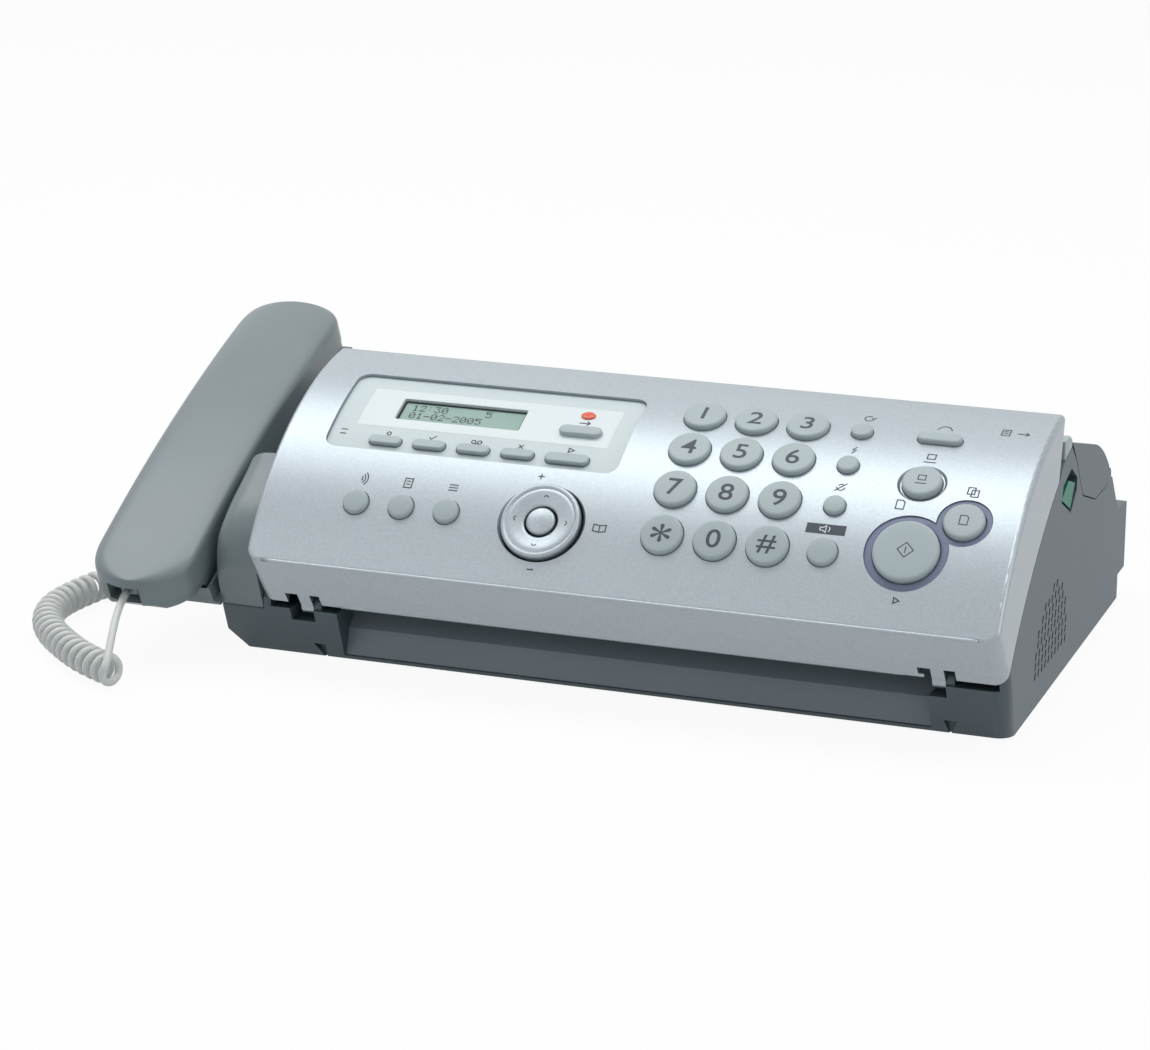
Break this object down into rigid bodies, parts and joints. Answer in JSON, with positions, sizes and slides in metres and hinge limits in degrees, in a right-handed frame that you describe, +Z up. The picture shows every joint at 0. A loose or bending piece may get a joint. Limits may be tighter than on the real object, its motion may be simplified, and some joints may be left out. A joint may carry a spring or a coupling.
{
  "type": "fax machine",
  "caption": "Desk fax machine with a sloping curved key panel that hinges open, a rear cover, and a corded handset lying in a cradle on its left side.",
  "frame": {"origin": "on the floor, under the middle of the machine and handset, without the cord", "axes": "+X to the machine's right as its user sees it, +Y to the back, +Z up"},
  "size_m": [0.3938, 0.2524, 0.1078],
  "materials": {
    "housing_grey": "fine satin grain",
    "dark_grey": "fine satin grain",
    "cradle_grey": "fine satin grain",
    "panel_silver": "silver paint with a satin sheen",
    "bezel_grey": "satin",
    "display_glass": "polished",
    "surround_blue": "satin",
    "key_grey": "satin",
    "circuit_board": "satin",
    "lever_green": "satin",
    "roller_rubber": "matte",
    "core_plastic": "satin",
    "head_metal": "satin",
    "motor_steel": "satin",
    "foot_rubber": "matte",
    "cord_grey": "satin",
    "plug_clear": "polished"
  },
  "bodies": {
    "base": {"base_housing": "housing_grey", "paper_exit_ramp": "dark_grey", "handset_cradle": "cradle_grey", "document_tray": "housing_grey", "thermal_head": "head_metal", "image_sensor": "head_metal", "main_board": "circuit_board", "drive_motor": "motor_steel", "speaker": "motor_steel", "base_plug": "plug_clear", "handset_cord": "cord_grey", "rubber_feet": "foot_rubber"},
    "cover": {"front_cover": "panel_silver", "display_bezel": "bezel_grey", "lcd_module": "display_glass", "start_key_surround": "surround_blue", "panel_board": "circuit_board"},
    "rear_lid": {"back_cover": "housing_grey"},
    "lever": {"release_lever": "lever_green"},
    "handset": {"handset_outer_shell": "cradle_grey", "handset_inner_shell": "cradle_grey", "handset_plug": "plug_clear"},
    "hook": {"hook_switch": "dark_grey"},
    "guide_left": {"document_guide_left": "dark_grey"},
    "guide_right": {"document_guide_right": "dark_grey"},
    "platen": {"platen_roller": "roller_rubber"},
    "feed": {"document_feed_roller": "roller_rubber"},
    "supply": {"film_supply_core": "core_plastic"},
    "take_up": {"film_take_up_core": "core_plastic"},
    "navigator": {"navigator_ring": "key_grey"},
    "b_key_1": {"key_1": "key_grey"},
    "b_key_2": {"key_2": "key_grey"},
    "b_key_3": {"key_3": "key_grey"},
    "b_key_4": {"key_4": "key_grey"},
    "b_key_5": {"key_5": "key_grey"},
    "b_key_6": {"key_6": "key_grey"},
    "b_key_7": {"key_7": "key_grey"},
    "b_key_8": {"key_8": "key_grey"},
    "b_key_9": {"key_9": "key_grey"},
    "b_key_star": {"key_star": "key_grey"},
    "b_key_0": {"key_0": "key_grey"},
    "b_key_hash": {"key_hash": "key_grey"},
    "b_redial_key": {"redial_key": "key_grey"},
    "b_flash_key": {"flash_key": "key_grey"},
    "b_mute_key": {"mute_key": "key_grey"},
    "b_speakerphone_key": {"speakerphone_key": "key_grey"},
    "b_caller_id_key": {"caller_id_key": "key_grey"},
    "b_stop_key": {"stop_key": "key_grey"},
    "b_start_key": {"start_key": "key_grey"},
    "b_copy_key": {"copy_key": "key_grey"},
    "b_broadcast_key": {"broadcast_key": "key_grey"},
    "b_report_key": {"report_key": "key_grey"},
    "b_menu_key": {"menu_key": "key_grey"},
    "b_set_key": {"set_key": "key_grey"},
    "b_greeting_rec_key": {"greeting_rec_key": "key_grey"},
    "b_greeting_check_key": {"greeting_check_key": "key_grey"},
    "b_memo_key": {"memo_key": "key_grey"},
    "b_erase_key": {"erase_key": "key_grey"},
    "b_playback_key": {"playback_key": "key_grey"},
    "b_auto_answer_key": {"auto_answer_key": "key_grey"}
  },
  "joints": [
    {"name": "front_cover_open", "type": "hinge", "parent": "base", "child": "cover", "pos_m": [0, -0.0785, 0.023], "axis": [1, 0, 0], "range_deg": [0, 55]},
    {"name": "back_cover_open", "type": "hinge", "parent": "base", "child": "rear_lid", "pos_m": [0, 0.0765, 0.0586], "axis": [-1, 0, 0], "range_deg": [0, 70]},
    {"name": "release_lever_turn", "type": "hinge", "parent": "base", "child": "lever", "pos_m": [0.174, 0.009, 0.0676], "axis": [-1, 0, 0], "range_deg": [0, 15], "stiffness_Nm_per_rad": 0.02, "springref_deg": -17.19},
    {"name": "handset_lift", "type": "slide", "parent": "base", "child": "handset", "axis": [0, -0.4083, 0.9128], "range_m": [0, 0.06], "deforming": ["handset_cord"]},
    {"name": "hook_switch_rise", "type": "slide", "parent": "base", "child": "hook", "axis": [0, -0.4083, 0.9128], "range_m": [0, 0.003]},
    {"name": "guide_left_slide", "type": "slide", "parent": "base", "child": "guide_left", "axis": [1, 0, 0], "range_m": [0, 0.04]},
    {"name": "guide_right_slide", "type": "slide", "parent": "base", "child": "guide_right", "axis": [-1, 0, 0], "range_m": [0, 0.04]},
    {"name": "platen_turn", "type": "hinge", "parent": "base", "child": "platen", "pos_m": [0, 0.028, 0.052], "axis": [1, 0, 0], "continuous": true},
    {"name": "feed_turn", "type": "hinge", "parent": "base", "child": "feed", "pos_m": [0, -0.024, 0.062], "axis": [1, 0, 0], "continuous": true},
    {"name": "film_supply_turn", "type": "hinge", "parent": "base", "child": "supply", "pos_m": [0, 0.058, 0.032], "axis": [1, 0, 0], "continuous": true},
    {"name": "film_take_up_turn", "type": "hinge", "parent": "base", "child": "take_up", "pos_m": [0, -0.007, 0.046], "axis": [1, 0, 0], "continuous": true},
    {"name": "navigator_rock", "type": "hinge", "parent": "cover", "child": "navigator", "pos_m": [-0.0002, -0.08316, 0.0667], "axis": [1, 0, 0], "range_deg": [-2.5, 2.5], "stiffness_Nm_per_rad": 0.08},
    {"name": "key_1_press", "type": "slide", "parent": "cover", "child": "b_key_1", "axis": [0, 0.3305, -0.9438], "range_m": [0, 0.001], "stiffness_N_per_m": 300, "springref_m": -0.001},
    {"name": "key_2_press", "type": "slide", "parent": "cover", "child": "b_key_2", "axis": [0, 0.3305, -0.9438], "range_m": [0, 0.001], "stiffness_N_per_m": 300, "springref_m": -0.001},
    {"name": "key_3_press", "type": "slide", "parent": "cover", "child": "b_key_3", "axis": [0, 0.3305, -0.9438], "range_m": [0, 0.001], "stiffness_N_per_m": 300, "springref_m": -0.001},
    {"name": "key_4_press", "type": "slide", "parent": "cover", "child": "b_key_4", "axis": [0, 0.4756, -0.8796], "range_m": [0, 0.001], "stiffness_N_per_m": 300, "springref_m": -0.001},
    {"name": "key_5_press", "type": "slide", "parent": "cover", "child": "b_key_5", "axis": [0, 0.4756, -0.8796], "range_m": [0, 0.001], "stiffness_N_per_m": 300, "springref_m": -0.001},
    {"name": "key_6_press", "type": "slide", "parent": "cover", "child": "b_key_6", "axis": [0, 0.4756, -0.8796], "range_m": [0, 0.001], "stiffness_N_per_m": 300, "springref_m": -0.001},
    {"name": "key_7_press", "type": "slide", "parent": "cover", "child": "b_key_7", "axis": [0, 0.6101, -0.7923], "range_m": [0, 0.001], "stiffness_N_per_m": 300, "springref_m": -0.001},
    {"name": "key_8_press", "type": "slide", "parent": "cover", "child": "b_key_8", "axis": [0, 0.6101, -0.7923], "range_m": [0, 0.001], "stiffness_N_per_m": 300, "springref_m": -0.001},
    {"name": "key_9_press", "type": "slide", "parent": "cover", "child": "b_key_9", "axis": [0, 0.6101, -0.7923], "range_m": [0, 0.001], "stiffness_N_per_m": 300, "springref_m": -0.001},
    {"name": "key_star_press", "type": "slide", "parent": "cover", "child": "b_key_star", "axis": [0, 0.729, -0.6845], "range_m": [0, 0.001], "stiffness_N_per_m": 300, "springref_m": -0.001},
    {"name": "key_0_press", "type": "slide", "parent": "cover", "child": "b_key_0", "axis": [0, 0.729, -0.6845], "range_m": [0, 0.001], "stiffness_N_per_m": 300, "springref_m": -0.001},
    {"name": "key_hash_press", "type": "slide", "parent": "cover", "child": "b_key_hash", "axis": [0, 0.729, -0.6845], "range_m": [0, 0.001], "stiffness_N_per_m": 300, "springref_m": -0.001},
    {"name": "redial_key_press", "type": "slide", "parent": "cover", "child": "b_redial_key", "axis": [0, 0.3305, -0.9438], "range_m": [0, 0.001], "stiffness_N_per_m": 300, "springref_m": -0.001},
    {"name": "flash_key_press", "type": "slide", "parent": "cover", "child": "b_flash_key", "axis": [0, 0.4756, -0.8796], "range_m": [0, 0.001], "stiffness_N_per_m": 300, "springref_m": -0.001},
    {"name": "mute_key_press", "type": "slide", "parent": "cover", "child": "b_mute_key", "axis": [0, 0.6101, -0.7923], "range_m": [0, 0.001], "stiffness_N_per_m": 300, "springref_m": -0.001},
    {"name": "speakerphone_key_press", "type": "slide", "parent": "cover", "child": "b_speakerphone_key", "axis": [0, 0.729, -0.6845], "range_m": [0, 0.001], "stiffness_N_per_m": 300, "springref_m": -0.001},
    {"name": "caller_id_key_press", "type": "slide", "parent": "cover", "child": "b_caller_id_key", "axis": [0, 0.3305, -0.9438], "range_m": [0, 0.001], "stiffness_N_per_m": 300, "springref_m": -0.001},
    {"name": "stop_key_press", "type": "slide", "parent": "cover", "child": "b_stop_key", "axis": [0, 0.5105, -0.8599], "range_m": [0, 0.001], "stiffness_N_per_m": 300, "springref_m": -0.001},
    {"name": "start_key_press", "type": "slide", "parent": "cover", "child": "b_start_key", "axis": [0, 0.7071, -0.7071], "range_m": [0, 0.001], "stiffness_N_per_m": 300, "springref_m": -0.001},
    {"name": "copy_key_press", "type": "slide", "parent": "cover", "child": "b_copy_key", "axis": [0, 0.6184, -0.7859], "range_m": [0, 0.001], "stiffness_N_per_m": 300, "springref_m": -0.001},
    {"name": "broadcast_key_press", "type": "slide", "parent": "cover", "child": "b_broadcast_key", "axis": [0, 0.729, -0.6845], "range_m": [0, 0.001], "stiffness_N_per_m": 300, "springref_m": -0.001},
    {"name": "report_key_press", "type": "slide", "parent": "cover", "child": "b_report_key", "axis": [0, 0.729, -0.6845], "range_m": [0, 0.001], "stiffness_N_per_m": 300, "springref_m": -0.001},
    {"name": "menu_key_press", "type": "slide", "parent": "cover", "child": "b_menu_key", "axis": [0, 0.729, -0.6845], "range_m": [0, 0.001], "stiffness_N_per_m": 300, "springref_m": -0.001},
    {"name": "set_key_press", "type": "slide", "parent": "cover", "child": "b_set_key", "axis": [0, 0.729, -0.6845], "range_m": [0, 0.001], "stiffness_N_per_m": 300, "springref_m": -0.001},
    {"name": "greeting_rec_key_press", "type": "slide", "parent": "cover", "child": "b_greeting_rec_key", "axis": [0, 0.5446, -0.8387], "range_m": [0, 0.001], "stiffness_N_per_m": 300, "springref_m": -0.001},
    {"name": "greeting_check_key_press", "type": "slide", "parent": "cover", "child": "b_greeting_check_key", "axis": [0, 0.5446, -0.8387], "range_m": [0, 0.001], "stiffness_N_per_m": 300, "springref_m": -0.001},
    {"name": "memo_key_press", "type": "slide", "parent": "cover", "child": "b_memo_key", "axis": [0, 0.5446, -0.8387], "range_m": [0, 0.001], "stiffness_N_per_m": 300, "springref_m": -0.001},
    {"name": "erase_key_press", "type": "slide", "parent": "cover", "child": "b_erase_key", "axis": [0, 0.5446, -0.8387], "range_m": [0, 0.001], "stiffness_N_per_m": 300, "springref_m": -0.001},
    {"name": "playback_key_press", "type": "slide", "parent": "cover", "child": "b_playback_key", "axis": [0, 0.5446, -0.8387], "range_m": [0, 0.001], "stiffness_N_per_m": 300, "springref_m": -0.001},
    {"name": "auto_answer_key_press", "type": "slide", "parent": "cover", "child": "b_auto_answer_key", "axis": [0, 0.4384, -0.8988], "range_m": [0, 0.001], "stiffness_N_per_m": 300, "springref_m": -0.001}
  ],
  "couplings": [
    {"joint": "hook_switch_rise", "follows": "handset_lift", "ratio": 0.05},
    {"joint": "guide_right_slide", "follows": "guide_left_slide", "ratio": 1},
    {"joint": "film_take_up_turn", "follows": "platen_turn", "ratio": 1},
    {"joint": "film_supply_turn", "follows": "platen_turn", "ratio": 0.72727}
  ]
}
